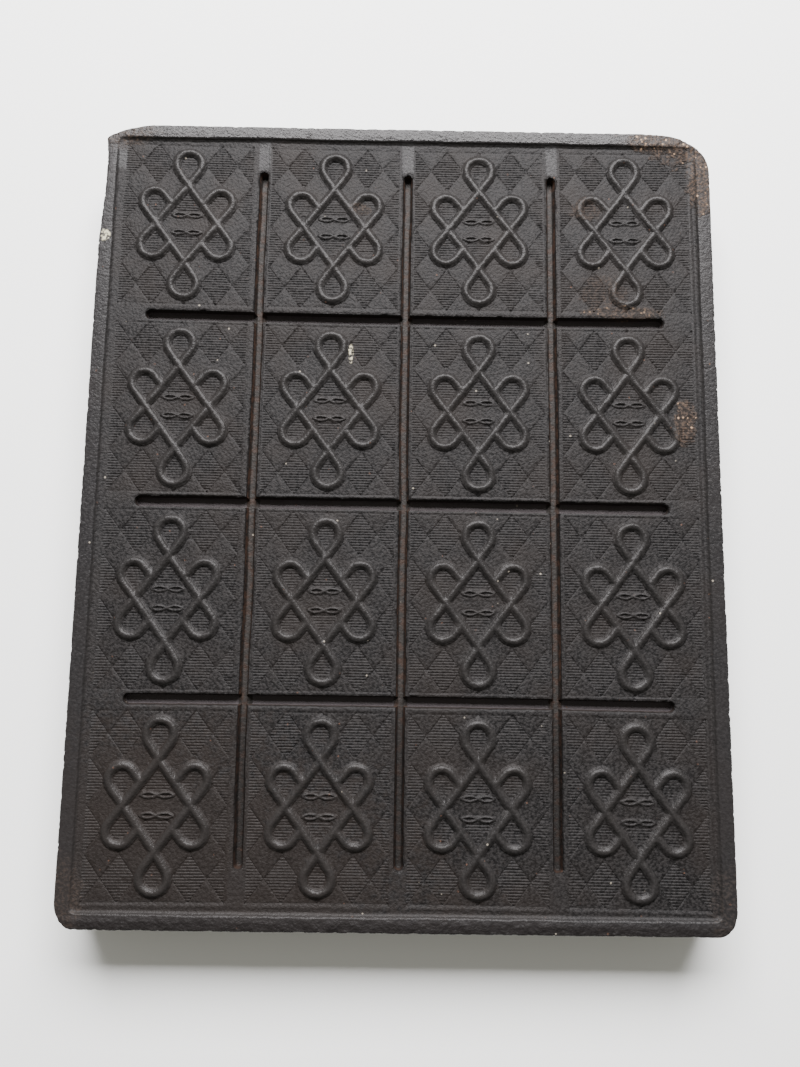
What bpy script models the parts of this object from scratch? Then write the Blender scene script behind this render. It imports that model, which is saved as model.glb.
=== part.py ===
"""A pressed black tea brick, lying flat with its patterned face up, as one solid.

It is a slab with worn corners and crumbling edges. A raised rim frames a sunken field. Six score
slots divide the field into sixteen tablets, and a knot of looped cord stands up on each tablet,
round two small bows. Metres, +Z up. The origin is the middle of the underside, +Y runs along the
brick's length and +X across it.
"""

import math
import random

import bmesh
import bpy
from mathutils import Matrix, Vector

MM = 0.001

# Slab
WIDTH = 187.0 * MM
LENGTH = 237.0 * MM
THICKNESS = 21.0 * MM
EDGE_ROUND = 1.0 * MM
# Each corner's reach along X and along Y, and how round it is: 2 is an ellipse, less is flatter
CORNERS = {
    (1, -1): (5.5 * MM, 7.0 * MM, 2.0),
    (1, 1): (20.0 * MM, 14.0 * MM, 2.0),
    (-1, 1): (15.5 * MM, 5.5 * MM, 1.4),
    (-1, -1): (5.5 * MM, 7.5 * MM, 2.0),
}
CORNER_STEPS = 7
CRUMB_SPACING = 7.0 * MM
CRUMB_DEPTH = 0.45 * MM
CRUMB_SEED = 12

# Sunken field inside the rim
RIM_WIDTH = 3.9 * MM
FIELD_DEPTH = 1.1 * MM
STEP_SLOPE = 1.3 * MM
FIELD_CORNER_ROUND = 6.0 * MM
FIELD_CORNER_STEPS = 4
FIELD_Z = THICKNESS - FIELD_DEPTH

# Tablets, four by four, and the score slots between them. The outer tablets are a little larger.
TABLET_X = (-67.0 * MM, -22.0 * MM, 22.2 * MM, 66.9 * MM)
TABLET_Y = (-85.5 * MM, -28.2 * MM, 28.6 * MM, 86.0 * MM)
LONG_SLOT_X = (-44.1 * MM, 0.3 * MM, 44.5 * MM)
CROSS_SLOT_Y = (-56.5 * MM, 0.15 * MM, 56.9 * MM)
SLOT_TOP_RADIUS = 1.6 * MM
SLOT_FLOOR_RADIUS = 0.75 * MM
SLOT_DEPTH = 3.0 * MM
SLOT_END_MARGIN = 15.4 * MM
SLOT_SIDES = 12
CUT_ABOVE = 2.0 * MM

# Knot of looped cord. Its middle is a rhombus with a crossing at each corner.
CORD_RADIUS = 1.12 * MM
RHOMB_HALF_WIDTH = 9.4 * MM
RHOMB_HALF_HEIGHT = 12.45 * MM
END_LOOP_RADIUS = 3.95 * MM
END_LOOP_RISE = 6.9 * MM
SIDE_LOOP_RADIUS = 3.75 * MM
SIDE_LOOP_CENTRE = (-10.1 * MM, 7.05 * MM)
SIDE_LOOP_MEETING = 0.5
END_LOOP_STEPS = 8
SIDE_LOOP_STEPS = 6
CORD_SINK = 0.12 * MM
LOOP_RISE = 0.1 * MM
CORD_BEVEL_RESOLUTION = 1

# Bows inside each knot: two pointed bumps side by side
BOW_HEIGHTS = (2.75 * MM, -2.75 * MM)
BOW_BUMP_OFFSET = 2.3 * MM
BOW_BUMP_LENGTH = 4.5 * MM
BOW_BUMP_WIDTH = 1.8 * MM
BOW_BUMP_HEIGHT = 0.45 * MM
BOW_BUMP_SIDES = 6
BOW_BUMP_SINK = 0.4 * MM

TEA = (0.028, 0.024, 0.022, 1.0)
TEA_ROUGHNESS = 0.62


def clear_scene():
    for obj in list(bpy.data.objects):
        bpy.data.objects.remove(obj)


def new_collection(name):
    collection = bpy.data.collections.new(name)
    bpy.context.scene.collection.children.link(collection)
    return collection


def tea_material():
    material = bpy.data.materials.new("pressed_black_tea")
    material.use_nodes = True
    shader = material.node_tree.nodes["Principled BSDF"]
    shader.inputs["Base Color"].default_value = TEA
    shader.inputs["Roughness"].default_value = TEA_ROUGHNESS
    shader.inputs["Metallic"].default_value = 0.0
    return material


def mesh_object(name, shape, collection, place=Matrix()):
    """A new object from a bmesh, which is freed."""
    mesh = bpy.data.meshes.new(name)
    bmesh.ops.recalc_face_normals(shape, faces=shape.faces)
    shape.to_mesh(mesh)
    shape.free()
    obj = bpy.data.objects.new(name, mesh)
    obj.matrix_world = place
    collection.objects.link(obj)
    return obj


def helper(obj):
    """Keeps a cutter or a joined piece out of the finished object."""
    obj.hide_render = True
    obj.display_type = "WIRE"
    return obj


def curve_mesh(name, spline_points, collection, cyclic, shape_curve):
    """A curve along the points, made a mesh with its caps welded on."""
    data = bpy.data.curves.new(name, "CURVE")
    spline = data.splines.new("POLY")
    spline.points.add(len(spline_points) - 1)
    for point, place in zip(spline.points, spline_points):
        point.co = (*place, 1.0)
    spline.use_cyclic_u = cyclic
    shape_curve(data)
    curve = bpy.data.objects.new(name + "_curve", data)
    collection.objects.link(curve)
    bpy.context.view_layer.update()
    graph = bpy.context.evaluated_depsgraph_get()
    mesh = bpy.data.meshes.new_from_object(curve.evaluated_get(graph))
    welded = bmesh.new()
    welded.from_mesh(mesh)
    bmesh.ops.remove_doubles(welded, verts=welded.verts, dist=0.01 * MM)
    bpy.data.meshes.remove(mesh)
    made = mesh_object(name, welded, collection, curve.matrix_world.copy())
    bpy.data.objects.remove(curve)
    return made


def corner_points(sign_x, sign_y):
    """The points of one corner, from the end on the X side to the end on the Y side."""
    reach_x, reach_y, roundness = CORNERS[sign_x, sign_y]
    points = []
    for step in range(CORNER_STEPS + 1):
        angle = math.pi / 2 * step / CORNER_STEPS
        across = math.cos(angle) ** (2 / roundness)
        along = math.sin(angle) ** (2 / roundness)
        points.append(
            Vector(
                (
                    sign_x * (WIDTH / 2 - reach_x + reach_x * across),
                    sign_y * (LENGTH / 2 - reach_y + reach_y * along),
                )
            )
        )
    return points


def slab_outline():
    """The slab seen from above, counterclockwise, with its edge crumbled inwards here and there."""
    smooth = [
        *corner_points(1, -1)[::-1],
        *corner_points(1, 1),
        *corner_points(-1, 1)[::-1],
        *corner_points(-1, -1),
    ]
    draw = random.Random(CRUMB_SEED)
    rough = []
    for here, following in zip(smooth, smooth[1:] + smooth[:1]):
        span = following - here
        pieces = max(1, round(span.length / CRUMB_SPACING))
        for piece in range(pieces):
            point = here + span * (piece / pieces)
            bite = CRUMB_DEPTH * max(0.0, draw.uniform(-0.8, 1.0))
            rough.append(point - point.normalized() * bite)
    return rough


def build_slab(collection):
    """The slab with rounded top and bottom edges."""

    def extrude(data):
        data.dimensions = "2D"
        data.fill_mode = "BOTH"
        data.extrude = THICKNESS / 2

    outline = [(point.x, point.y, 0.0) for point in slab_outline()]
    slab = curve_mesh("tea_brick", outline, collection, True, extrude)
    slab.location.z = THICKNESS / 2
    bevel = slab.modifiers.new("edges", "BEVEL")
    bevel.width = EDGE_ROUND
    bevel.segments = 1
    bevel.limit_method = "ANGLE"
    bevel.angle_limit = math.radians(60)
    return slab


def field_cutter(collection):
    """A tray shape with round corners, whose walls lean outwards, for the sunken field."""
    shape = bmesh.new()
    bmesh.ops.create_cube(shape, size=1.0)
    lean = STEP_SLOPE / FIELD_DEPTH
    for vertex in shape.verts:
        upper = vertex.co.z > 0
        height = FIELD_DEPTH + CUT_ABOVE if upper else 0.0
        spread = lean * height - STEP_SLOPE - RIM_WIDTH
        vertex.co.x = math.copysign(WIDTH / 2 + spread, vertex.co.x)
        vertex.co.y = math.copysign(LENGTH / 2 + spread, vertex.co.y)
        vertex.co.z = FIELD_Z + height
    corners = [e for e in shape.edges if abs(e.verts[0].co.z - e.verts[1].co.z) > FIELD_DEPTH]
    bmesh.ops.bevel(
        shape,
        geom=corners,
        offset=FIELD_CORNER_ROUND,
        segments=FIELD_CORNER_STEPS,
        profile=0.5,
        affect="EDGES",
    )
    return helper(mesh_object("field_cutter", shape, collection))


def slot_cutter(name, start, end, collection):
    """A score slot from start to end: the hull of two cones, so its ends are round and its walls lean."""
    shape = bmesh.new()
    deepening = (SLOT_TOP_RADIUS - SLOT_FLOOR_RADIUS) / SLOT_DEPTH
    height = SLOT_DEPTH + CUT_ABOVE
    mouth = SLOT_FLOOR_RADIUS + deepening * height
    for centre in (start, end):
        bmesh.ops.create_cone(
            shape,
            cap_ends=True,
            segments=SLOT_SIDES,
            radius1=SLOT_FLOOR_RADIUS,
            radius2=mouth,
            depth=height,
            matrix=Matrix.Translation((*centre, FIELD_Z - SLOT_DEPTH + height / 2)),
        )
    hull = bmesh.ops.convex_hull(shape, input=shape.verts)
    inside = [e for e in hull["geom_interior"] if isinstance(e, bmesh.types.BMVert)]
    bmesh.ops.delete(shape, geom=inside, context="VERTS")
    loose = [face for face in shape.faces if face not in hull["geom"]]
    bmesh.ops.delete(shape, geom=loose, context="FACES")
    return helper(mesh_object(name, shape, collection))


def build_slot_cutters(collection):
    half_width = WIDTH / 2 - SLOT_END_MARGIN - SLOT_TOP_RADIUS
    half_length = LENGTH / 2 - SLOT_END_MARGIN - SLOT_TOP_RADIUS
    for number, x in enumerate(LONG_SLOT_X):
        slot_cutter(f"long_slot_{number}", (x, -half_length), (x, half_length), collection)
    for number, y in enumerate(CROSS_SLOT_Y):
        slot_cutter(f"cross_slot_{number}", (-half_width, y), (half_width, y), collection)


def touching(point, centre, radius, side):
    """Where a straight line from the point touches the circle, on the side given as 1 or -1."""
    way = centre - point
    spread = side * math.asin(radius / way.length)
    heading = math.atan2(way.y, way.x) + spread
    reach = math.sqrt(way.length_squared - radius**2)
    return point + reach * Vector((math.cos(heading), math.sin(heading)))


def loop_points(start, centre, radius, finish, steps):
    """Straight from the start, clockwise round the circle, and straight to the finish."""
    first = touching(start, centre, radius, 1) - centre
    last = touching(finish, centre, radius, -1) - centre
    turn = (math.atan2(first.y, first.x) - math.atan2(last.y, last.x)) % math.tau
    points = [start]
    for step in range(steps + 1):
        angle = math.atan2(first.y, first.x) - turn * step / steps
        points.append(centre + radius * Vector((math.cos(angle), math.sin(angle))))
    return [*points, finish]


def side_hook():
    """The cord from the bottom crossing past the left crossing and round the upper left loop,
    to where that loop meets the rhombus again."""
    bottom = Vector((0.0, -RHOMB_HALF_HEIGHT))
    left = Vector((-RHOMB_HALF_WIDTH, 0.0))
    top = Vector((0.0, RHOMB_HALF_HEIGHT))
    centre = Vector(SIDE_LOOP_CENTRE)
    meeting = top.lerp(left, SIDE_LOOP_MEETING)
    loop = loop_points(left, centre, SIDE_LOOP_RADIUS, meeting, SIDE_LOOP_STEPS)
    return [bottom, *loop]


def end_loop():
    """The closed loop above the rhombus's top crossing."""
    top = Vector((0.0, RHOMB_HALF_HEIGHT))
    centre = top + Vector((0.0, END_LOOP_RISE))
    return loop_points(top, centre, END_LOOP_RADIUS, top, END_LOOP_STEPS)[:-1]


def cord(data):
    data.dimensions = "3D"
    data.bevel_depth = CORD_RADIUS
    data.bevel_resolution = CORD_BEVEL_RESOLUTION
    data.use_fill_caps = True


def build_knot(name, middle, collection):
    """Four hooks and two end loops, mirrored from one of each."""
    for mirror_y in (1, -1):
        height = FIELD_Z - CORD_SINK
        loop = [
            (middle.x + p.x, middle.y + p.y * mirror_y, height + LOOP_RISE)
            for p in end_loop()
        ]
        helper(curve_mesh(f"{name}_end_loop_{mirror_y}", loop, collection, True, cord))
        for mirror_x in (1, -1):
            # Of two cords that cross, one lies a little lower
            low = height - (LOOP_RISE if mirror_x == mirror_y else 0.0)
            hook = [
                (middle.x + p.x * mirror_x, middle.y + p.y * mirror_y, low)
                for p in side_hook()
            ]
            label = f"{name}_hook_{mirror_x}_{mirror_y}"
            helper(curve_mesh(label, hook, collection, False, cord))


def build_bows(name, middle, collection):
    """Two bows, each of two pointed bumps."""
    for bow, rise in enumerate(BOW_HEIGHTS):
        for side in (-1, 1):
            shape = bmesh.new()
            bmesh.ops.create_cone(
                shape,
                cap_ends=True,
                segments=BOW_BUMP_SIDES,
                radius1=0.5,
                radius2=0.2,
                depth=1.0,
            )
            size = Vector(
                (BOW_BUMP_LENGTH, BOW_BUMP_WIDTH, BOW_BUMP_HEIGHT + BOW_BUMP_SINK)
            )
            bmesh.ops.scale(shape, vec=size, verts=shape.verts)
            place = Vector(
                (
                    middle.x + side * BOW_BUMP_OFFSET,
                    middle.y + rise,
                    FIELD_Z + (BOW_BUMP_HEIGHT - BOW_BUMP_SINK) / 2,
                )
            )
            turn = Matrix.Translation(place)
            helper(mesh_object(f"{name}_bow_{bow}_{side}", shape, collection, turn))


def apply_boolean(target, collection, operation):
    """Cuts or joins a whole collection, then removes its objects."""
    boolean = target.modifiers.new(collection.name, "BOOLEAN")
    boolean.operation = operation
    boolean.operand_type = "COLLECTION"
    boolean.collection = collection
    bpy.context.view_layer.update()
    graph = bpy.context.evaluated_depsgraph_get()
    made = bpy.data.meshes.new_from_object(target.evaluated_get(graph))
    target.modifiers.clear()
    old = target.data
    target.data = made
    bpy.data.meshes.remove(old)
    for obj in list(collection.objects):
        bpy.data.objects.remove(obj)


def main():
    clear_scene()
    parts = new_collection("tea_brick_parts")
    cutters = new_collection("cutters")
    relief = new_collection("relief")

    brick = build_slab(parts)
    field_cutter(cutters)
    build_slot_cutters(cutters)
    apply_boolean(brick, cutters, "DIFFERENCE")

    for column, x in enumerate(TABLET_X):
        for row, y in enumerate(TABLET_Y):
            middle = Vector((x, y))
            build_knot(f"knot_{column}_{row}", middle, relief)
            build_bows(f"knot_{column}_{row}", middle, relief)
    apply_boolean(brick, relief, "UNION")

    brick.data.name = "tea_brick"
    brick.data.materials.clear()
    brick.data.materials.append(tea_material())
    brick.data.shade_smooth()
    brick.data.set_sharp_from_angle(angle=math.radians(40))
    for helper_collection in (cutters, relief):
        bpy.data.collections.remove(helper_collection)


main()
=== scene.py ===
"""A pressed tea brick seen from almost straight above: its looks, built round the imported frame.

The brick is one closed mesh. Its face is a height worked out at every point of a fine grid, whose
lines follow the ribs of the pattern. The grid's outer band is drawn in to the brick's worn outline,
and walls and an underside close it. Lengths are in millimetres, except where a comment says metres.
"""

import math

import bpy
import numpy as np
from mathutils import Matrix, Vector


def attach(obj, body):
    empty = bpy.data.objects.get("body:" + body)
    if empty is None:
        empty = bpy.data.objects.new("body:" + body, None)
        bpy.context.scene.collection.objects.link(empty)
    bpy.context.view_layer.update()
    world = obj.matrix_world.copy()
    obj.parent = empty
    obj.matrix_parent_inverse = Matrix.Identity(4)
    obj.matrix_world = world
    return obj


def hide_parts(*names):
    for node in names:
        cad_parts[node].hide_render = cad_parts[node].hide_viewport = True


MM = 0.001

# Slab: the solid's sizes, with finer rounding. The face stays under the top of the solid's box
# by the headroom
WIDTH = 187.0
LENGTH = 237.0
THICKNESS = 21.0
RIM_WIDTH = 3.9
RIM_LOW = 0.06
STEP_SLOPE = 1.3
STEP_WAVE = 0.12
FIELD_DEPTH = 1.1
FIELD_Z = THICKNESS - FIELD_DEPTH
FIELD_CORNER_ROUND = 1.2
FACE_ROLL = 0.05
EDGE_ROUND = 0.6
HEADROOM = 0.03
# Each corner's reach along X and along Y, and its fullness: 2 is an ellipse, less is flatter
CORNERS = {
    (1, -1): (5.5, 7.0, 2.0),
    (1, 1): (20.0, 14.0, 2.4),
    (-1, 1): (15.5, 5.0, 1.5),
    (-1, -1): (5.5, 7.5, 2.0),
}

# Wear: crumbs along the outline, the rough walls, and the left edge, drawn in towards the top
CRUMB_EVEN = 0.05
CRUMB_BITE = 0.35
WALL_BITE = 0.35
WALL_STRETCH = 1.6
UNDERSIDE_INSET = 0.8
LEFT_WEAR = 1.2
LEFT_WEAR_Y = 102
LEFT_WEAR_REACH = 26
# Right and left top corners, where the step is worn wide: middle, reach along X and Y, how fast
# the wear grows inward, and its share
WORN_CORNERS = (
    ((96, 122), (25, 16), 1.7, 1.0),
    ((-98, 120), (16, 26), 1.6, 0.8),
)
WORN_STEP_START = 3.5
WORN_STEP_WIDTH = 6
WORN_PATTERN_LOSS = 0.5
WORN_CRUMB = 0.3
WORN_LOSS = 0.12

# Score slots
SLOT_TOP_RADIUS = 1.6
SLOT_RAGGED = 0.1
LONG_SLOT_X = (-44.1, 0.3, 44.5)
LONG_SLOT_ENDS = (-102.7, 104.1)
LONG_SLOT_FLOOR = 0.65
LONG_SLOT_DEPTH = 2.6
LONG_SLOT_WAVE = 0.2
CROSS_SLOT_Y = (-56.5, 0.15, 56.9)
CROSS_SLOT_END = 78.1
CROSS_SLOT_FLOOR = 1.15
CROSS_SLOT_DEPTH = 3.0
LUMP_SHARE = 0.25
LUMP_REACH = 1.3
LIP_WIDTH = 0.5
LIP_DEPTH = 0.2
RUN_OUT_START = 100
RUN_OUT_DEPTH = 0.16
RUN_OUT_SHARE_BELOW = 0.4
RUN_OUT_EDGE = 0.2

# Beads pressed along the right and bottom sides of the field
SIDE_BEAD_X = 87.0
SIDE_BEAD_REACH = 1.0
SIDE_BEAD_HEIGHT = 0.25
SIDE_BEAD_ENDS = (-113, 105)
SIDE_BEAD_FADE = 6
BOTTOM_BEAD_Y = -112.2
BOTTOM_BEAD_REACH = 0.6
BOTTOM_BEAD_HEIGHT = 0.12

# Tablets and their diamonds, ribbed and plain
TABLET_X = (-67.0, -22.0, 22.2, 66.9)
TABLET_Y = (-85.5, -28.2, 28.6, 86.0)
FIRST_TABLET_SEED = 100
PATTERN_SINK = 0.06
RIB_PITCH = 0.785
RIBS = 66
RIB_DEPTH = 0.145
RIB_GROOVE = 0.3
RIB_WEAR = 0.22
MOST_RIB = 1.2
PATTERN_HALF_Y = RIB_PITCH * RIBS / 2
DIAMOND_WIDTH = 9.76
DIAMOND_HEIGHT = PATTERN_HALF_Y / 2
PATTERN_HALF_X = DIAMOND_WIDTH * 2
LINE_WIDTH = 0.34
LINE_DEPTH = 0.22
BORDER_INSET = 0.25
BORDER_WIDTH = 0.38
BORDER_DEPTH = 0.1

# How the pattern's rows bow: their rise at the sides, above and below the brick's middle
ARC_X = 67
ARC_Y = 57
ARC_LEVEL = 0.55
ARC_ABOVE = 0.35
ARC_BELOW = 0.2
ARC_FADE = 4
ROW_TILT = 0.002

# Knot of looped cord
CORD_REACH = 1.38
CORD_HEIGHT = 1.0
CORD_FULLNESS = 0.85
CORD_FALL = 1.4
CORD_MARGIN = 1.6
CORD_WAVE = 0.13
CORD_CRUMB = 0.08
CORD_CRUMB_START = 0.5
FOOT_FILLET = 0.4
RHOMB_HALF_WIDTH = 9.4
RHOMB_HALF_HEIGHT = 12.45
END_LOOP_RADIUS = 3.95
END_LOOP_RISE = 6.9
SIDE_LOOP_RADIUS = 3.75
SIDE_LOOP_CENTRE = (-10.1, 7.05)
SIDE_LOOP_MEETING = 0.5
LOOP_STEPS = 22
CORD_STEP = 0.8
CROSSING_REACH = 1.6
CROSSING_RISE = 0.1
CROSSING_DIP = 0.22

# Bows inside each knot: two lenses of thin ridge side by side, on a plain ground
BOW_HEIGHTS = (2.75, -2.75)
BOW_REACH_X = 5.6
BOW_REACH_Y = 1.5
BOW_RIDGE_RADIUS = 0.45
BOW_RIDGE_HEIGHT = 0.4
BOW_BASE_HEIGHT = 0.05
PLAIN_BETWEEN_BOWS = 2.7
LENS_CENTRE = 2.35
LENS_HALF_LENGTH = 2.25
LENS_HALF_HEIGHT = 0.7
LENS_DEPTH = 0.12
LENS_SOFTNESS = 0.4

# Grid. The band between these lines and the outline is the one that is drawn in
BAND_X = 87.2
BAND_Y = 112.2
RIB_SAMPLES = 4
COLUMN_STEP = 0.3
COARSE_STEP = 0.26
WALL_ROWS = 16
MOST_TRIANGLES = 198000
SHARP_DEGREES = 40
NOISE_TABLE = 256
NOISE_LAYERS = 3
NOISE_REACH = 1.6
# On the rectangle's edge within this, and the least size to divide by
ON_EDGE = 1e-6
NOT_ZERO = 1e-9

# Window light, in metres and watts, and the room's own light
WINDOW_PLACE = (0.02, 0.71, 0.74)
WINDOW_SIZE = (0.95, 0.5)
WINDOW_POWER = 57
WINDOW_COLOUR = (1.0, 0.975, 0.985)
ROOM_LIGHT = 0.33
ROOM_COLOUR = (1.0, 0.965, 0.86, 1.0)

# Floor, with half its side in metres
FLOOR_HALF = 1.5
FLOOR_COLOUR = (0.905, 0.925, 0.915, 1.0)
FLOOR_ROUGHNESS = 0.6

# Camera: place, the point that it looks at, and the direction of its right-hand side
CAMERA_PLACE = (-2.35, -46.75, 278.45)
CAMERA_LOOKS_AT = (-0.57, -8.43, 21.0)
CAMERA_RIGHT = (0.99986, 0.01423, 0.009)
PHOTO_HEIGHT_PX = 1067
FOCAL_PX = 900
SENSOR = 36.0

# Tea's looks: grain sizes, bump, edges of worn spots, roughness and sheen
SLOT = "pressed_tea"
FINE_GRAIN = 0.35
MEDIUM_GRAIN = 0.8
COARSE_GRAIN = 2.2
CLOUD = 20.0
FINE_BUMP = 0.1
MEDIUM_BUMP = 0.24
COARSE_BUMP = 0.08
LOOSE_BUMP = 0.7
BUMP_STRENGTH = 0.9
BLOB_EDGE = (0.75, 1.15)
BLOB_RAGGED = 1.2
ROUGH_FIELD = 0.55
ROUGH_GRAIN = 0.22
SHEEN = 0.115

# Colours
DARK_TEA = (0.0048, 0.0045, 0.0046, 1.0)
PALE_TEA = (0.0172, 0.0161, 0.016, 1.0)
BROWN_TEA = (0.0145, 0.0114, 0.0099, 1.0)
# Cords a little paler than the ground: painted highlight
CORD_HIGHLIGHT_TEA = (0.0195, 0.0185, 0.018, 1.0)
RIM_TEA = (0.0185, 0.018, 0.0185, 1.0)
# Darker tea for the rim at the bottom of the brick: painted shade
BOTTOM_RIM_SHADE = (0.008, 0.0068, 0.0066, 1.0)
# Paler tea for the smooth patches and strips beside the slots: painted sheen
PATCH_SHEEN_TEA = (0.022, 0.0215, 0.0218, 1.0)
SLOT_TEA = (0.036, 0.021, 0.015, 1.0)
FLOOR_OF_SLOT = (0.021, 0.019, 0.0175, 1.0)
# Cross slots' floors much paler than the tea: painted light, for room light reaching into them
SLOT_FLOOR_FILL_LIGHT = (0.058, 0.051, 0.053, 1.0)
WORN_TEA = (0.066, 0.045, 0.032, 1.0)
STALK = (0.25, 0.17, 0.11, 1.0)
RED_SPECK = (0.085, 0.045, 0.03, 1.0)
PALE_SPECK = (0.3, 0.27, 0.22, 1.0)
CHIP = (0.42, 0.39, 0.28, 1.0)

# Where the looks change, each from 0 to 1: past the rim's inner edge, under the top, above or
# under the field, from a slot's middle, above a long slot's floor, and along Y
RIM_EDGE = (-0.9, 0.1)
SIDE_UNDER_TOP = (1.6, 0.8)
CORD_ABOVE_FIELD = (0.1, 0.5)
SLOT_UNDER_FIELD = (0.9, 0.5)
LONG_SLOT_EDGE = (1.7, 2.2)
SMOOTH_BESIDE_LONG = (2.3, 2.8)
SMOOTH_BESIDE_CROSS = (2.3, 2.9)
PATCH_EDGE = (1.6, 2.0)
FLOOR_ABOVE_DEPTH = (0.2, 0.9)
PATCH_Y = (103.5, 105.0)
TOP_RIM_Y = (112, 115)
BOTTOM_RIM_Y = (-116.5, -113.5)
# Along Y, where painted shade darkens the long slots towards the bottom
SLOT_SHADE_Y = (-72, -50)

# Brown lower left, and the worn right top corner: middle, and reach along X and Y
LOW_LEFT = ((-95, -120), (110, 60))
WORN_RIGHT = ((96, 122), (24, 15))
# Other places worn brown: middle, reach along X and Y, and how strongly
WORN_SPOTS = (
    ((91.5, 103), (5, 11), 0.9),
    ((80, 116), (12, 4), 0.9),
    ((83.5, 26), (3.5, 7), 0.8),
    ((-90, 117), (12, 6), 0.4),
    ((-92, -112), (6, 14), 0.22),
    ((55, 93), (5, 3.5), 0.3),
    ((60, 66), (7, 6), 0.28),
    ((91.5, -112), (6, 12), 0.15),
    ((-14, 92), (3, 2), 0.35),
    ((66, 60.2), (12, 2.2), 0.5),
)
PALE_CHIPS = (
    ((-91.3, 82), (1.5, 1.9)),
    ((-16, 46), (0.7, 2.6)),
)


def ease(value):
    """Smoothly from 0 at 0 to 1 at 1."""
    inside = np.clip(value, 0, 1)
    return inside * inside * (3 - 2 * inside)


def hat(value):
    """1 at 0 and smoothly down to 0 at 1 and beyond."""
    return ease(1 - np.abs(value))


def noise(x, y, scale, seed):
    """Smooth noise from -1 to 1, with bumps about scale across."""
    table = np.random.default_rng(seed).uniform(-1, 1, (NOISE_TABLE, NOISE_TABLE))
    u = np.asarray(x) / scale
    v = np.asarray(y) / scale
    i = np.floor(u).astype(int)
    j = np.floor(v).astype(int)
    across = ease(u - i)
    along = ease(v - j)
    here = [[table[(i + a) % NOISE_TABLE, (j + b) % NOISE_TABLE] for b in (0, 1)] for a in (0, 1)]
    low = here[0][0] * (1 - across) + here[1][0] * across
    high = here[0][1] * (1 - across) + here[1][1] * across
    return low * (1 - along) + high * along


def rough(x, y, scale, seed):
    """Noise of several sizes, each half the size and half the strength of the last."""
    total = 0
    for layer in range(NOISE_LAYERS):
        total = total + noise(x, y, scale / 2**layer, seed + layer) / 2**layer
    return total / NOISE_REACH


# Outline


def on_outline(bx, by):
    """Moves points of the bounding rectangle to the brick's worn outline."""
    x = bx.copy()
    y = by.copy()
    out_x = np.where(np.abs(bx) > WIDTH / 2 - ON_EDGE, np.sign(bx), 0.0)
    out_y = np.where(np.abs(by) > LENGTH / 2 - ON_EDGE, np.sign(by), 0.0)
    for (side_x, side_y), (reach_x, reach_y, fullness) in CORNERS.items():
        past_x = side_x * bx - (WIDTH / 2 - reach_x)
        past_y = side_y * by - (LENGTH / 2 - reach_y)
        in_corner = (past_x > 0) & (past_y > 0)
        share = np.clip((past_y + reach_x - past_x) / (reach_x + reach_y), 0, 1)
        across = np.cos(share * math.pi / 2)
        along = np.sin(share * math.pi / 2)
        round_x = WIDTH / 2 - reach_x + reach_x * across ** (2 / fullness)
        round_y = LENGTH / 2 - reach_y + reach_y * along ** (2 / fullness)
        x = np.where(in_corner, side_x * round_x, x)
        y = np.where(in_corner, side_y * round_y, y)
        out_x = np.where(in_corner, side_x * across, out_x)
        out_y = np.where(in_corner, side_y * along, out_y)
    narrow = LEFT_WEAR * hat((by - LEFT_WEAR_Y) / LEFT_WEAR_REACH) * (bx < 0)
    bite = CRUMB_BITE * np.maximum(rough(x, y, scale=1.3, seed=44), 0)
    crumb = CRUMB_EVEN * (1 + rough(x, y, scale=4.0, seed=40)) + bite
    size = np.maximum(np.hypot(out_x, out_y), NOT_ZERO)
    return x - crumb * out_x / size + narrow * np.abs(out_x), y - crumb * out_y / size


def bowed(u, v):
    """How far the pattern's rows bow towards the brick's ends at the sides, fading out at the rim."""
    side = (u / ARC_X) ** 2 - ARC_LEVEL
    bow = side * (ARC_ABOVE * np.maximum(v, 0) + ARC_BELOW * np.minimum(v, 0)) / ARC_Y - ROW_TILT * u
    return bow * ease((LENGTH / 2 - RIM_WIDTH - np.abs(v)) / ARC_FADE)


def warped(u, v):
    """The grid drawn in to the outline, with each point's distance in from it."""
    past_u = np.clip((np.abs(u) - BAND_X) / (WIDTH / 2 - BAND_X), 0, 1)
    past_v = np.clip((np.abs(v) - BAND_Y) / (LENGTH / 2 - BAND_Y), 0, 1)
    reach = np.maximum(past_u, past_v)
    whole = np.maximum(reach, NOT_ZERO)
    edge_u = np.sign(u) * (np.minimum(np.abs(u), BAND_X) + past_u / whole * (WIDTH / 2 - BAND_X))
    edge_v = np.sign(v) * (np.minimum(np.abs(v), BAND_Y) + past_v / whole * (LENGTH / 2 - BAND_Y))
    target_x, target_y = on_outline(edge_u, edge_v)
    x = u + reach * (target_x - edge_u)
    y = v + reach * (target_y - edge_v) + bowed(u, v) * (1 - reach)
    inset = np.where(reach > 0, np.hypot(target_x - x, target_y - y), WIDTH)
    return x, y, inset


def worn_corner(x, y):
    """How worn and granular the brick is at its top corners, from 0 to 1."""
    total = 0
    for (middle_x, middle_y), (reach_x, reach_y), growth, share in WORN_CORNERS:
        far = np.hypot((x - middle_x) / reach_x, (y - middle_y) / reach_y)
        total = total + share * ease(growth - growth * far)
    return np.clip(total, 0, 1)


# Knot


def touching(point, centre, radius, side):
    """Where a straight line from the point touches the circle, on the side given as 1 or -1."""
    way = centre - point
    spread = side * math.asin(radius / np.hypot(*way))
    heading = math.atan2(way[1], way[0]) + spread
    reach = math.sqrt(way @ way - radius**2)
    return point + reach * np.array((math.cos(heading), math.sin(heading)))


def loop_points(start, centre, radius, finish):
    """Straight from the start, clockwise round the circle, and straight to the finish."""
    first = touching(start, centre, radius, 1) - centre
    last = touching(finish, centre, radius, -1) - centre
    begin = math.atan2(first[1], first[0])
    turn = (begin - math.atan2(last[1], last[0])) % math.tau
    angles = begin - turn * np.linspace(0, 1, LOOP_STEPS)
    arc = centre + radius * np.stack([np.cos(angles), np.sin(angles)], 1)
    return np.vstack([start, arc, finish])


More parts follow.
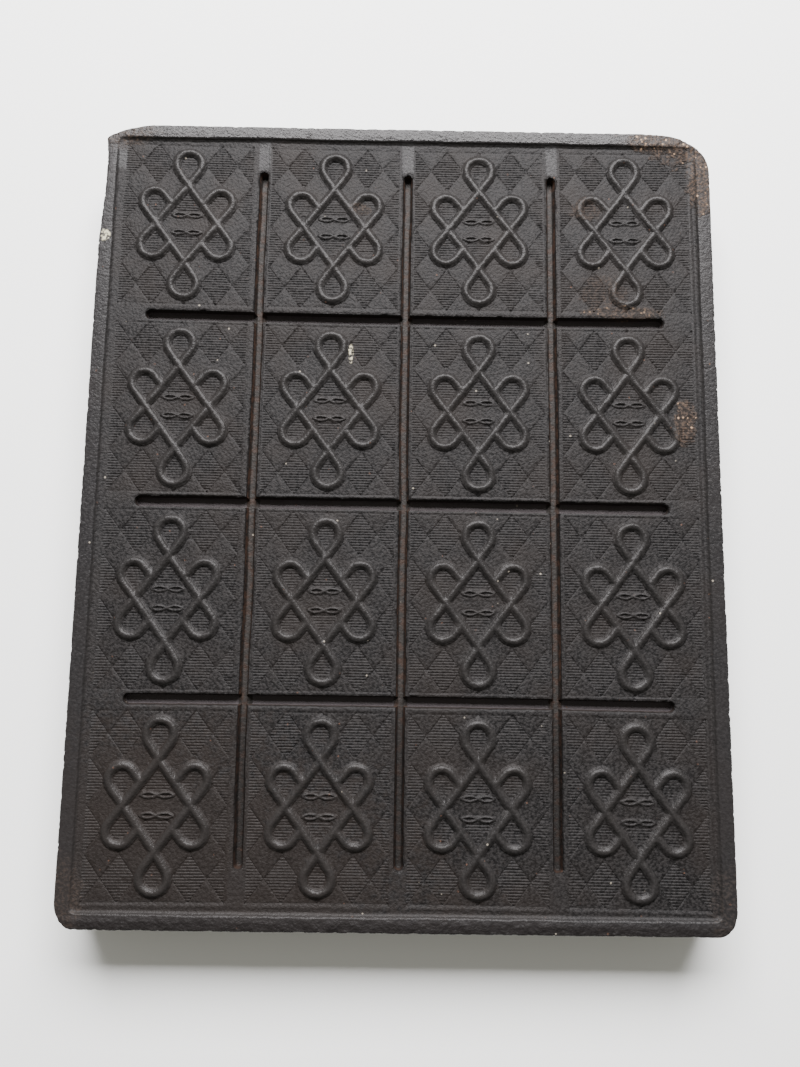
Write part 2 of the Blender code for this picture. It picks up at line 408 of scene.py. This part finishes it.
def resampled(points, step):
    """The same line with points no further apart than step."""
    lengths = np.hypot(*np.diff(points, axis=0).T)
    along = np.concatenate([[0], np.cumsum(lengths)])
    spots = np.linspace(0, along[-1], max(2, math.ceil(along[-1] / step)))
    return np.stack([np.interp(spots, along, points[:, axis]) for axis in (0, 1)], 1)


def knot_cords():
    """Each cord of the knot: its points, and the side that it takes at crossings, 1 or -1."""
    top = np.array((0.0, RHOMB_HALF_HEIGHT))
    left = np.array((-RHOMB_HALF_WIDTH, 0.0))
    centre = np.array(SIDE_LOOP_CENTRE)
    meeting = top + (left - top) * SIDE_LOOP_MEETING
    hook = np.vstack([-top, loop_points(left, centre, SIDE_LOOP_RADIUS, meeting)])
    rise = top + np.array((0.0, END_LOOP_RISE))
    end = loop_points(top, rise, END_LOOP_RADIUS, top)
    half = len(end) // 2
    cords = []
    for mirror_y in (1, -1):
        for mirror_x in (1, -1):
            turn = np.array((mirror_x, mirror_y))
            cords.append((resampled(hook * turn, CORD_STEP), mirror_x * mirror_y))
            side = end[: half + 1] * turn
            cords.append((resampled(side, CORD_STEP), mirror_x * mirror_y))
    return cords


def crossing_pull(points, side, overs):
    """How high a cord lies along its points: it dips where it passes under another."""
    crossings = (
        (0.0, RHOMB_HALF_HEIGHT),
        (0.0, -RHOMB_HALF_HEIGHT),
        (RHOMB_HALF_WIDTH, 0.0),
        (-RHOMB_HALF_WIDTH, 0.0),
    )
    height = np.ones(len(points))
    for (x, y), over in zip(crossings, overs):
        near = np.exp(-((points[:, 0] - x) ** 2 + (points[:, 1] - y) ** 2) / CROSSING_REACH**2)
        height = height + near * (CROSSING_RISE if side == over else -CROSSING_DIP)
    return height


def cord_height(x, y, points, height):
    """The half-round cord's height at each place, from its nearest stretch. Beside the cord it goes
    steeply down."""
    found = np.full_like(x, -THICKNESS)
    low = points.min(0) - CORD_REACH * CORD_MARGIN
    high = points.max(0) + CORD_REACH * CORD_MARGIN
    near = (x > low[0]) & (x < high[0]) & (y > low[1]) & (y < high[1])
    px = x[near]
    py = y[near]
    best = np.full_like(px, -THICKNESS)
    for a, b, high_a, high_b in zip(points, points[1:], height, height[1:]):
        way = b - a
        share = np.clip(((px - a[0]) * way[0] + (py - a[1]) * way[1]) / (way @ way), 0, 1)
        gap = (px - a[0] - share * way[0]) ** 2 + (py - a[1] - share * way[1]) ** 2
        gap = gap / CORD_REACH**2
        fall = CORD_FALL * (np.sqrt(np.maximum(gap, 1)) - 1)
        here = np.clip(1 - gap, 0, 1) ** CORD_FULLNESS - fall
        best = np.maximum(best, here * (high_a + share * (high_b - high_a)))
    found[near] = best * CORD_HEIGHT
    return found


def bow_height(x, y):
    """Ridges round two lenses side by side, and how far inside a lens each place is."""
    across = (np.abs(x) - LENS_CENTRE) / LENS_HALF_LENGTH
    curve = LENS_HALF_HEIGHT * np.clip(1 - across**2, 0, 1)
    slope = 2 * LENS_HALF_HEIGHT * across / LENS_HALF_LENGTH
    gap = np.abs(np.abs(y) - curve) / np.sqrt(1 + slope**2)
    past = np.clip(np.abs(across) - 1, 0, None) * LENS_HALF_LENGTH
    ridge = np.clip(1 - (gap**2 + past**2) / BOW_RIDGE_RADIUS**2, 0, 1)
    inside = ease((curve - np.abs(y)) / LENS_SOFTNESS)
    return np.where(ridge > 0, ridge * BOW_RIDGE_HEIGHT, -THICKNESS), inside


# Tablet


def diamond_edge(x, y):
    """Distance in from a ribbed diamond's edge: negative outside it, in a plain one."""
    fx = x / DIAMOND_WIDTH
    fy = y / DIAMOND_HEIGHT - 0.5
    inside = 0.5 - np.abs(fx - np.round(fx)) - np.abs(fy - np.round(fy))
    return inside * DIAMOND_WIDTH * DIAMOND_HEIGHT / math.hypot(DIAMOND_WIDTH, DIAMOND_HEIGHT)


def ground_height(x, y, seed):
    """The tablet's ground under its knot: ribbed and plain diamonds, and the two bows."""
    edge = diamond_edge(x, y)
    in_rhomb = np.abs(x) < RHOMB_HALF_WIDTH * (1 - np.abs(y) / RHOMB_HALF_HEIGHT)
    between = (np.abs(y) < PLAIN_BETWEEN_BOWS) & in_rhomb
    groove = hat(((y / RIB_PITCH) % 1 - 0.5) / RIB_GROOVE)
    wear = np.minimum(1 + RIB_WEAR * rough(x, y, scale=5.0, seed=seed + 7), MOST_RIB)
    height = np.where((edge > 0) & ~between, -RIB_DEPTH * wear * groove, 0.0)
    height = height - LINE_DEPTH * hat(edge / LINE_WIDTH) * ~between
    border = np.abs(np.abs(y) - PATTERN_HALF_Y + BORDER_INSET)
    height = height - BORDER_DEPTH * hat(border / BORDER_WIDTH)
    for bow_y in BOW_HEIGHTS:
        flat = hat((y - bow_y) / BOW_REACH_Y) * hat(x / BOW_REACH_X)
        ridge, inside = bow_height(x, y - bow_y)
        height = height * (1 - np.minimum(2 * flat, 1)) + BOW_BASE_HEIGHT * flat
        height = np.maximum(height - LENS_DEPTH * inside, ridge)
    return height


def knot_height(x, y, seed):
    """The knot's height. A seeded draw says which cord is on top at each crossing."""
    overs = np.random.default_rng(seed).choice([-1, 1], 4)
    cords = np.full_like(x, -THICKNESS)
    for points, side in knot_cords():
        wave = noise(points[:, 0], points[:, 1], scale=4.0, seed=seed + 3)
        lift = crossing_pull(points, side, overs) * (1 + CORD_WAVE * wave)
        cords = np.maximum(cords, cord_height(x, y, points, lift))
    crumb = CORD_CRUMB * rough(x, y, scale=1.6, seed=seed + 11)
    return cords + crumb * ease(cords / CORD_CRUMB_START)


def tablet_height(x, y, seed):
    """Height of a tablet's ground and knot, with a fillet between them. x and y are from its middle."""
    ground = ground_height(x, y, seed)
    cords = knot_height(x, y, seed)
    blend = np.clip(1 - np.abs(cords - ground) / FOOT_FILLET, 0, 1)
    return np.maximum(ground, cords) + FOOT_FILLET * blend**2 / 4


# Face


def rounded_box(x, y, half_x, half_y, corner):
    """Signed distance from a rectangle with round corners, positive outside."""
    dx = np.abs(x) - (half_x - corner)
    dy = np.abs(y) - (half_y - corner)
    outside = np.hypot(np.maximum(dx, 0), np.maximum(dy, 0))
    return outside + np.minimum(np.maximum(dx, dy), 0) - corner


def slot_depth(x, y):
    """How deep the score slots are at each place. The long ones have a narrow floor and leaning walls,
    the cross ones are nearly upright, with a low lump where a long one runs through."""
    ragged = SLOT_RAGGED * rough(x, y, scale=1.6, seed=70)
    middle = (LONG_SLOT_ENDS[0] + LONG_SLOT_ENDS[1]) / 2
    half_y = (LONG_SLOT_ENDS[1] - LONG_SLOT_ENDS[0]) / 2 - SLOT_TOP_RADIUS
    beside_long = np.full_like(x, WIDTH)
    for slot_x in LONG_SLOT_X:
        wave = LONG_SLOT_WAVE * noise(np.full_like(y, slot_x), y, scale=24.0, seed=72)
        gap = np.hypot(x - slot_x - wave, np.maximum(np.abs(y - middle) - half_y, 0)) + ragged
        beside_long = np.minimum(beside_long, gap)
    wall = (SLOT_TOP_RADIUS - beside_long) / (SLOT_TOP_RADIUS - LONG_SLOT_FLOOR)
    deepest = LONG_SLOT_DEPTH * ease(wall)
    half_x = CROSS_SLOT_END - SLOT_TOP_RADIUS
    beside_cross = np.full_like(x, WIDTH)
    for slot_y in CROSS_SLOT_Y:
        gap = np.hypot(np.maximum(np.abs(x) - half_x, 0), y - slot_y) + ragged
        beside_cross = np.minimum(beside_cross, gap)
    wall = np.clip((SLOT_TOP_RADIUS - beside_cross) / (SLOT_TOP_RADIUS - CROSS_SLOT_FLOOR), 0, 1)
    lump = LUMP_SHARE * hat(beside_long / LUMP_REACH)
    deepest = np.maximum(deepest, CROSS_SLOT_DEPTH * wall * (1 - lump))
    beside = np.minimum(beside_long, beside_cross) - SLOT_TOP_RADIUS
    return deepest + LIP_DEPTH * hat(beside / LIP_WIDTH) * (deepest <= 0)


def slot_run_out(x, y):
    """How deep the shallow troughs are that carry the long slots on to the rim."""
    depth = np.zeros_like(x)
    for slot_x in LONG_SLOT_X:
        side = ease((SLOT_TOP_RADIUS + RUN_OUT_EDGE - np.abs(x - slot_x)) / (2 * RUN_OUT_EDGE))
        share = np.where(y > 0, y > RUN_OUT_START, RUN_OUT_SHARE_BELOW * (y < -RUN_OUT_START))
        depth = depth + RUN_OUT_DEPTH * side * share
    return depth


def face_height(x, y, u, v, inset, column_runs, row_runs):
    """Height of the brick's face at every point of the grid. The pattern goes by u and v, the
    places before the grid is warped."""
    step_x = WIDTH / 2 - RIM_WIDTH - STEP_SLOPE
    step_y = LENGTH / 2 - RIM_WIDTH - STEP_SLOPE
    out = rounded_box(x, y, step_x, step_y, FIELD_CORNER_ROUND)
    out = out + STEP_WAVE * noise(x, y, scale=9.0, seed=22)
    corner = worn_corner(x, y)
    worn_step = ease((out + WORN_STEP_START) / WORN_STEP_WIDTH)
    step = ease(out / STEP_SLOPE) * (1 - corner) + worn_step * corner
    height = FIELD_Z + (FIELD_DEPTH - RIM_LOW) * step
    for column, middle_x in zip(column_runs, TABLET_X):
        for row, middle_y in zip(row_runs, TABLET_Y):
            here = np.ix_(row, column)
            seed = abs(FIRST_TABLET_SEED + 10 * int(middle_x) + int(middle_y))
            relief = tablet_height(u[here] - middle_x, v[here] - middle_y, seed)
            height[here] += (relief - PATTERN_SINK) * (1 - WORN_PATTERN_LOSS * corner[here])
    height = height - slot_depth(u, v) - slot_run_out(u, v) * (out < 0)
    along_side = ease((SIDE_BEAD_ENDS[1] - v) / SIDE_BEAD_FADE)
    side_bead = SIDE_BEAD_HEIGHT * hat((u - SIDE_BEAD_X) / SIDE_BEAD_REACH) * along_side
    height = height + side_bead * (v > SIDE_BEAD_ENDS[0])
    bottom_bead = BOTTOM_BEAD_HEIGHT * hat((v - BOTTOM_BEAD_Y) / BOTTOM_BEAD_REACH)
    height = height + bottom_bead * (np.abs(u) < SIDE_BEAD_X)
    roll = FACE_ROLL * rough(x, y, scale=7.0, seed=20)
    height = height + roll + WORN_CRUMB * corner * rough(x, y, scale=1.5, seed=24)
    turn = np.clip(1 - inset / EDGE_ROUND, 0, 1)
    height = height - EDGE_ROUND * (1 - np.sqrt(1 - turn**2)) - WORN_LOSS * corner
    return np.minimum(height, THICKNESS - HEADROOM)


# Mesh


def spaced(low, high, step):
    """Evenly spaced places from low to high, about step apart."""
    return np.linspace(low, high, max(1, round((high - low) / step)) + 1)


def grid_lines(centres, half, step, coarse, edge):
    """Grid lines from edge to edge, fine across each tablet, and each tablet's run of them."""
    lines = []
    runs = []
    at = -edge
    for centre in centres:
        lines.extend(spaced(at, centre - half, coarse)[:-1])
        tablet = spaced(centre - half, centre + half, step)
        runs.append(np.arange(len(lines), len(lines) + len(tablet)))
        lines.extend(tablet[:-1])
        at = centre + half
    lines.extend(spaced(at, edge, coarse))
    return np.array(lines), runs


def ring_indices(rows, columns):
    """The grid's outer points, once round, counterclockwise."""
    grid = np.arange(rows * columns).reshape(rows, columns)
    return np.concatenate([grid[0, :-1], grid[:-1, -1], grid[-1, :0:-1], grid[:0:-1, 0]])


def mesh_from(name, points, quads, cap):
    """A mesh from points, quads and one polygon of any length, all as numpy arrays."""
    mesh = bpy.data.meshes.new(name)
    loops = np.concatenate([quads.ravel(), cap])
    sizes = np.append(np.full(len(quads), 4), len(cap))
    mesh.vertices.add(len(points))
    mesh.vertices.foreach_set("co", points.astype(np.float32).ravel())
    mesh.loops.add(len(loops))
    mesh.loops.foreach_set("vertex_index", loops.astype(np.int32))
    mesh.polygons.add(len(sizes))
    starts = np.concatenate([[0], np.cumsum(sizes)[:-1]]).astype(np.int32)
    mesh.polygons.foreach_set("loop_start", starts)
    mesh.update(calc_edges=True)
    mesh.validate()
    return mesh


def wall_rings(edge):
    """Rings of points down the side walls, from below the face's edge to the underside."""
    inward = -edge[:, :2] / np.linalg.norm(edge[:, :2], axis=1)[:, None]
    along = np.cumsum(np.hypot(*np.diff(edge[:, :2], axis=0, append=edge[:1, :2]).T))
    rings = []
    for row in range(1, WALL_ROWS + 1):
        share = row / WALL_ROWS
        height = edge[:, 2] * (1 - share)
        lumps = 1 + rough(along, height * WALL_STRETCH, scale=4.0, seed=60)
        bite = WALL_BITE * lumps * math.sin(math.pi * share)
        bite = bite + (UNDERSIDE_INSET if row == WALL_ROWS else 0.0)
        rings.append(np.column_stack([edge[:, :2] + inward * bite[:, None], height]))
    return rings


def build_brick():
    """The brick's closed mesh, in metres: the face, the walls below its edge, and the underside."""
    factor = 1
    rib_step = RIB_PITCH / RIB_SAMPLES
    columns, column_runs = grid_lines(
        TABLET_X, PATTERN_HALF_X, COLUMN_STEP * factor, COARSE_STEP * factor, WIDTH / 2
    )
    rows, row_runs = grid_lines(
        TABLET_Y, PATTERN_HALF_Y, rib_step * factor, COARSE_STEP * factor, LENGTH / 2
    )
    u, v = np.meshgrid(columns, rows)
    x, y, inset = warped(u, v)
    z = face_height(x, y, u, v, inset, column_runs, row_runs)
    face = np.stack([x, y, z], -1).reshape(-1, 3)
    index = np.arange(len(face)).reshape(z.shape)
    quads = [np.stack([index[:-1, :-1], index[:-1, 1:], index[1:, 1:], index[1:, :-1]], -1)]
    ring = ring_indices(*z.shape)
    points = [face]
    above = ring
    made = len(face)
    for below_points in wall_rings(face[ring]):
        below = np.arange(made, made + len(ring))
        made += len(ring)
        points.append(below_points)
        quads.append(np.stack([above, below, np.roll(below, -1), np.roll(above, -1)], -1))
        above = below
    all_quads = np.concatenate([part.reshape(-1, 4) for part in quads])
    mesh = mesh_from("pressed_brick", np.concatenate(points), all_quads, above[::-1])
    brick = bpy.data.objects.new("pressed_brick", mesh)
    bpy.context.scene.collection.objects.link(brick)
    thin_out(brick)
    brick.data.transform(Matrix.Scale(MM, 4))
    return brick


def apply_modifiers(obj):
    """Makes what the object's modifiers do part of its mesh."""
    bpy.context.view_layer.update()
    made = bpy.data.meshes.new_from_object(obj.evaluated_get(bpy.context.evaluated_depsgraph_get()))
    obj.modifiers.clear()
    old = obj.data
    obj.data = made
    bpy.data.meshes.remove(old)


def thin_out(obj):
    """Merges the object's flat stretches, down to the number of triangles wanted. Its mesh is still
    in millimetres, as steps this small would count for nothing in metres."""
    triangles = sum(len(p.vertices) - 2 for p in obj.data.polygons)
    if triangles > MOST_TRIANGLES:
        fewer = obj.modifiers.new("fewer", "DECIMATE")
        fewer.ratio = MOST_TRIANGLES / triangles
        apply_modifiers(obj)


def weigh_normals(obj):
    """Lets the large flat triangles decide the shading, so that plain diamonds look flat."""
    weigh = obj.modifiers.new("weigh", "WEIGHTED_NORMAL")
    weigh.keep_sharp = True
    apply_modifiers(obj)


# Materials


class Nodes:
    """Adds nodes to a material's tree. Each function takes numbers or sockets and gives a socket."""

    def __init__(self, material):
        material.use_nodes = True
        self.tree = material.node_tree
        self.shader = self.tree.nodes["Principled BSDF"]

    def give(self, socket, value):
        if isinstance(value, bpy.types.NodeSocket):
            self.tree.links.new(value, socket)
        else:
            socket.default_value = value

    def add(self, kind, output, **inputs):
        node = self.tree.nodes.new(kind)
        for name, value in inputs.items():
            self.give(node.inputs[name], value)
        return node.outputs[output]

    def work_out(self, operation, first, second=0.0):
        node = self.tree.nodes.new("ShaderNodeMath")
        node.operation = operation
        self.give(node.inputs[0], first)
        self.give(node.inputs[1], second)
        return node.outputs[0]

    def times(self, first, second):
        return self.work_out("MULTIPLY", first, second)

    def more(self, first, second):
        return self.work_out("ADD", first, second)

    def less(self, first, second):
        return self.work_out("SUBTRACT", first, second)

    def larger(self, first, second):
        return self.work_out("MAXIMUM", first, second)

    def ramp(self, value, low, high, start=0.0, stop=1.0):
        """start below low, stop above high, and smooth between."""
        node = self.tree.nodes.new("ShaderNodeMapRange")
        node.interpolation_type = "SMOOTHSTEP"
        for name, number in (("From Min", low), ("From Max", high), ("To Min", start), ("To Max", stop)):
            node.inputs[name].default_value = number
        self.give(node.inputs["Value"], value)
        return node.outputs[0]

    def grain(self, place, across, detail=2.0):
        """Noise from 0 to 1, with grains about this many millimetres across."""
        return self.add("ShaderNodeTexNoise", "Fac", Vector=place, Scale=1 / across, Detail=detail)

    def specks(self, place, apart, size, share):
        """Scattered round specks: how far apart and how large they are, and the share of them kept."""
        node = self.tree.nodes.new("ShaderNodeTexVoronoi")
        self.give(node.inputs["Vector"], place)
        node.inputs["Scale"].default_value = 1 / apart
        chance = self.add("ShaderNodeSeparateColor", "Red", Color=node.outputs["Color"])
        spot = self.ramp(node.outputs["Distance"], size / apart * 0.5, size / apart, 1.0, 0.0)
        return self.times(spot, self.work_out("GREATER_THAN", chance, 1 - share))

    def blob(self, x, y, middle, reach, ragged):
        """1 inside an ellipse and 0 outside it, with a ragged edge."""
        across = self.times(self.more(x, -middle[0]), 1 / reach[0])
        along = self.times(self.more(y, -middle[1]), 1 / reach[1])
        far = self.work_out("SQRT", self.more(self.times(across, across), self.times(along, along)))
        return self.ramp(self.more(far, ragged), *BLOB_EDGE, 1.0, 0.0)

    def mix(self, share, low, high):
        """The colour low where share is 0, high where it is 1."""
        node = self.tree.nodes.new("ShaderNodeMix")
        node.data_type = "RGBA"
        self.give(node.inputs[0], share)
        self.give(node.inputs[6], low)
        self.give(node.inputs[7], high)
        return node.outputs[2]


def place_in_mm(nodes):
    """The place on the brick in millimetres."""
    scaled = nodes.tree.nodes.new("ShaderNodeVectorMath")
    scaled.operation = "SCALE"
    nodes.give(scaled.inputs["Vector"], nodes.add("ShaderNodeTexCoord", "Object"))
    scaled.inputs["Scale"].default_value = 1 / MM
    return scaled.outputs["Vector"]


def slot_gaps(nodes, x, y):
    """Distances to the middle of the nearest long slot and of the nearest cross slot."""
    gaps = []
    for value, middles in ((x, LONG_SLOT_X), (y, CROSS_SLOT_Y)):
        pitch = middles[2] - middles[1]
        gaps.append(nodes.work_out("PINGPONG", nodes.more(value, -middles[1]), pitch / 2))
    return gaps


def tea_masks(nodes, x, y, z, ragged):
    """How much each place belongs to each part of the brick, from 0 to 1."""
    past_x = nodes.more(nodes.work_out("ABSOLUTE", x), RIM_WIDTH - WIDTH / 2)
    past_y = nodes.more(nodes.work_out("ABSOLUTE", y), RIM_WIDTH - LENGTH / 2)
    rim = nodes.ramp(nodes.larger(past_x, past_y), *RIM_EDGE)
    field = nodes.less(1.0, rim)
    side_low, side_high = SIDE_UNDER_TOP
    below_top = nodes.ramp(z, THICKNESS - side_low, THICKNESS - side_high, 1.0, 0.0)
    cord_low, cord_high = CORD_ABOVE_FIELD
    raised = nodes.ramp(z, FIELD_Z + cord_low, FIELD_Z + cord_high)
    slot_low, slot_high = SLOT_UNDER_FIELD
    sunk = nodes.ramp(z, FIELD_Z - slot_low, FIELD_Z - slot_high, 1.0, 0.0)
    deep = nodes.times(sunk, field)
    long_gap, cross_gap = slot_gaps(nodes, x, y)
    in_long = nodes.times(deep, nodes.ramp(long_gap, *LONG_SLOT_EDGE, 1.0, 0.0))
    smooth_x = nodes.ramp(long_gap, *SMOOTH_BESIDE_LONG, 1.0, 0.0)
    smooth_y = nodes.ramp(cross_gap, *SMOOTH_BESIDE_CROSS, 1.0, 0.0)
    run_out = nodes.times(nodes.ramp(long_gap, *PATCH_EDGE, 1.0, 0.0), nodes.ramp(y, *PATCH_Y))
    floor_z = FIELD_Z - LONG_SLOT_DEPTH
    floor_low, floor_high = FLOOR_ABOVE_DEPTH
    worn = nodes.blob(x, y, *WORN_RIGHT, ragged)
    for middle, reach, share in WORN_SPOTS:
        worn = nodes.larger(worn, nodes.times(nodes.blob(x, y, middle, reach, ragged), share))
    return {
        "rim": rim,
        "top": nodes.times(rim, nodes.ramp(y, *TOP_RIM_Y)),
        "bottom": nodes.times(rim, nodes.ramp(y, *BOTTOM_RIM_Y, 1.0, 0.0)),
        "side": nodes.times(below_top, rim),
        "cord": nodes.times(raised, field),
        "in_long": in_long,
        "in_cross": nodes.less(deep, in_long),
        "slot_floor": nodes.ramp(z, floor_z + floor_low, floor_z + floor_high, 1.0, 0.0),
        "smooth": nodes.times(nodes.larger(smooth_x, smooth_y), field),
        "patch": nodes.times(run_out, field),
        "worn": worn,
        "low_left": nodes.blob(x, y, *LOW_LEFT, ragged),
    }


def slot_colour(nodes, y, mask, coarse):
    """Rusty brown walls and a greyer floor in the long slots, with painted shade darkening them towards
    the bottom of the brick.
    """
    rusty = nodes.mix(nodes.ramp(coarse, 0.4, 0.6), SLOT_TEA, BROWN_TEA)
    grainy_floor = nodes.times(mask["slot_floor"], nodes.ramp(coarse, 0.3, 0.6, 0.35, 1.0))
    rusty = nodes.mix(grainy_floor, rusty, FLOOR_OF_SLOT)
    # Painted shade: the slots darken towards the bottom of the brick
    return nodes.mix(nodes.ramp(y, *SLOT_SHADE_Y, 0.5, 0.0), rusty, DARK_TEA)


def tea_colour(nodes, place, x, y, mask, grains, ragged):
    """Nearly black tea, part by part, with painted highlight on the cords, painted sheen on the patches,
    painted shade on the bottom rim and painted light in the cross slots, then its worn places, specks
    and chips.
    """
    fine, medium, coarse, cloud = grains
    colour = nodes.mix(nodes.ramp(medium, 0.35, 0.65), DARK_TEA, PALE_TEA)
    colour = nodes.mix(nodes.times(nodes.ramp(cloud, 0.4, 0.7), 0.5), colour, BROWN_TEA)
    colour = nodes.mix(nodes.times(mask["low_left"], 0.6), colour, BROWN_TEA)
    # Cords mixed a little paler: painted highlight on their tops
    colour = nodes.mix(nodes.times(mask["cord"], 0.5), colour, CORD_HIGHLIGHT_TEA)
    colour = nodes.mix(nodes.times(mask["rim"], 0.5), colour, RIM_TEA)
    # The bottom rim darkened: painted shade on the side away from the window
    colour = nodes.mix(nodes.times(mask["bottom"], 0.75), colour, BOTTOM_RIM_SHADE)
    # Patches above the long slots and strips beside the slots made paler: painted sheen
    patch_sheen = nodes.larger(mask["patch"], nodes.times(mask["smooth"], 0.15))
    colour = nodes.mix(patch_sheen, colour, PATCH_SHEEN_TEA)
    colour = nodes.mix(mask["in_long"], colour, slot_colour(nodes, y, mask, coarse))
    colour = nodes.mix(mask["in_cross"], colour, BROWN_TEA)
    # Cross slots' floors made paler: painted light
    colour = nodes.mix(nodes.times(mask["in_cross"], mask["slot_floor"]), colour, SLOT_FLOOR_FILL_LIGHT)

    rust = nodes.more(nodes.times(nodes.ramp(medium, 0.46, 0.62), 0.7), 0.15)
    colour = nodes.mix(nodes.times(mask["worn"], rust), colour, WORN_TEA)
    stalks = nodes.specks(place, apart=1.3, size=0.45, share=0.4)
    colour = nodes.mix(nodes.times(stalks, nodes.ramp(mask["worn"], 0.3, 0.8)), colour, STALK)
    red = nodes.specks(place, apart=2.4, size=0.4, share=0.07)
    red = nodes.times(red, nodes.ramp(fine, 0.4, 0.6))
    colour = nodes.mix(nodes.times(red, 0.8), colour, RED_SPECK)
    pale = nodes.specks(place, apart=3.1, size=0.4, share=0.07)
    colour = nodes.mix(nodes.times(pale, 0.6), colour, PALE_SPECK)
    for middle, reach in PALE_CHIPS:
        chip = nodes.blob(x, y, middle, reach, ragged)
        colour = nodes.mix(nodes.times(chip, nodes.ramp(medium, 0.35, 0.6)), colour, CHIP)
    return colour


def tea_roughness(nodes, mask, medium):
    """Smoother on the rim, the patches and the cords, rougher where the tea is loose."""
    changes = {
        "rim": -0.19,
        "top": -0.17,
        "bottom": 0.2,
        "patch": -0.13,
        "cord": -0.17,
        "worn": 0.25,
        "side": 0.35,
    }
    roughness = nodes.more(ROUGH_FIELD, nodes.times(nodes.more(medium, -0.5), ROUGH_GRAIN))
    for name, change in changes.items():
        roughness = nodes.more(roughness, nodes.times(mask[name], change))
    return roughness


def tea_bump(nodes, mask, fine, medium, coarse):
    """Grain of the surface: calmer on the rim and the cords, coarse where the tea is loose."""
    calm = nodes.more(1.0, nodes.times(nodes.larger(mask["cord"], mask["rim"]), -0.4))
    grain = nodes.more(nodes.times(fine, FINE_BUMP), nodes.times(medium, MEDIUM_BUMP))
    loose = nodes.larger(mask["worn"], mask["side"])
    rim_loose = nodes.larger(nodes.times(mask["rim"], 0.15), mask["bottom"])
    crumbly = nodes.more(COARSE_BUMP, nodes.times(nodes.larger(loose, rim_loose), LOOSE_BUMP))
    height = nodes.more(nodes.times(grain, calm), nodes.times(coarse, crumbly))
    return nodes.add("ShaderNodeBump", "Normal", Height=height, Strength=BUMP_STRENGTH, Distance=MM)


def tea_material():
    """Pressed tea dust: nearly black, with a dull sheen where it was pressed smooth, and browner and
    coarser where it is worn."""
    material = bpy.data.materials.new(SLOT)
    nodes = Nodes(material)
    place = place_in_mm(nodes)
    split = nodes.tree.nodes.new("ShaderNodeSeparateXYZ")
    nodes.give(split.inputs[0], place)
    x, y, z = split.outputs
    fine = nodes.grain(place, FINE_GRAIN)
    medium = nodes.grain(place, MEDIUM_GRAIN)
    coarse = nodes.grain(place, COARSE_GRAIN, 3.0)
    cloud = nodes.grain(place, CLOUD, 3.0)
    ragged = nodes.times(nodes.more(coarse, -0.5), BLOB_RAGGED)
    mask = tea_masks(nodes, x, y, z, ragged)
    grains = (fine, medium, coarse, cloud)
    inputs = nodes.shader.inputs
    nodes.give(inputs["Base Color"], tea_colour(nodes, place, x, y, mask, grains, ragged))
    nodes.give(inputs["Roughness"], tea_roughness(nodes, mask, medium))
    nodes.give(inputs["Normal"], tea_bump(nodes, mask, fine, medium, coarse))
    inputs["Specular IOR Level"].default_value = SHEEN
    return material


def floor_material():
    material = bpy.data.materials.new("pale_floor")
    material.use_nodes = True
    shader = material.node_tree.nodes["Principled BSDF"]
    shader.inputs["Base Color"].default_value = FLOOR_COLOUR
    shader.inputs["Roughness"].default_value = FLOOR_ROUGHNESS
    return material


# Stage


def build_window():
    """The window's light, aimed at the brick's middle."""
    data = bpy.data.lights.new("window", "AREA")
    data.shape = "RECTANGLE"
    data.size = WINDOW_SIZE[0]
    data.size_y = WINDOW_SIZE[1]
    data.energy = WINDOW_POWER
    data.color = WINDOW_COLOUR
    light = bpy.data.objects.new("window", data)
    bpy.context.scene.collection.objects.link(light)
    light.location = WINDOW_PLACE
    light.rotation_euler = (-Vector(WINDOW_PLACE)).to_track_quat("-Z", "Y").to_euler()


def build_floor():
    mesh = bpy.data.meshes.new("floor")
    corners = [(x * FLOOR_HALF, y * FLOOR_HALF, 0) for x, y in ((-1, -1), (1, -1), (1, 1), (-1, 1))]
    mesh.from_pydata(corners, [], [(0, 1, 2, 3)])
    floor = bpy.data.objects.new("floor", mesh)
    bpy.context.scene.collection.objects.link(floor)
    mesh.materials.append(floor_material())


def build_room_light():
    world = bpy.data.worlds.new("studio")
    bpy.context.scene.world = world
    world.use_nodes = True
    background = world.node_tree.nodes["Background"]
    background.inputs["Color"].default_value = ROOM_COLOUR
    background.inputs["Strength"].default_value = ROOM_LIGHT


def build_camera():
    """The camera at the photo's place, with the photo's focal length."""
    data = bpy.data.cameras.new("camera")
    data.sensor_width = SENSOR
    data.lens = SENSOR * FOCAL_PX / PHOTO_HEIGHT_PX
    camera = bpy.data.objects.new("camera", data)
    bpy.context.scene.collection.objects.link(camera)
    place = Vector(CAMERA_PLACE) * MM
    back = (place - Vector(CAMERA_LOOKS_AT) * MM).normalized()
    up = back.cross(Vector(CAMERA_RIGHT)).normalized()
    right = up.cross(back)
    turn = Matrix((right, up, back)).transposed()
    camera.matrix_world = Matrix.Translation(place) @ turn.to_4x4()
    bpy.context.scene.camera = camera


def main():
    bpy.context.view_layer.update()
    build_camera()
    build_floor()
    build_window()
    build_room_light()
    brick = build_brick()
    brick.data.materials.clear()
    brick.data.materials.append(tea_material())
    brick.data.shade_smooth()
    brick.data.set_sharp_from_angle(angle=math.radians(SHARP_DEGREES))
    weigh_normals(brick)
    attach(brick, "root")
    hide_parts("tea_brick")


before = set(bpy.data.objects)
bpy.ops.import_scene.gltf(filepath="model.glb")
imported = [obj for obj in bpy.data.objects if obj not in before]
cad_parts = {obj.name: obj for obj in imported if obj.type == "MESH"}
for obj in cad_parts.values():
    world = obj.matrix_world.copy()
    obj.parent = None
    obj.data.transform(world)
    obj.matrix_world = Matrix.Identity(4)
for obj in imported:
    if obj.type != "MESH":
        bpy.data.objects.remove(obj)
main()
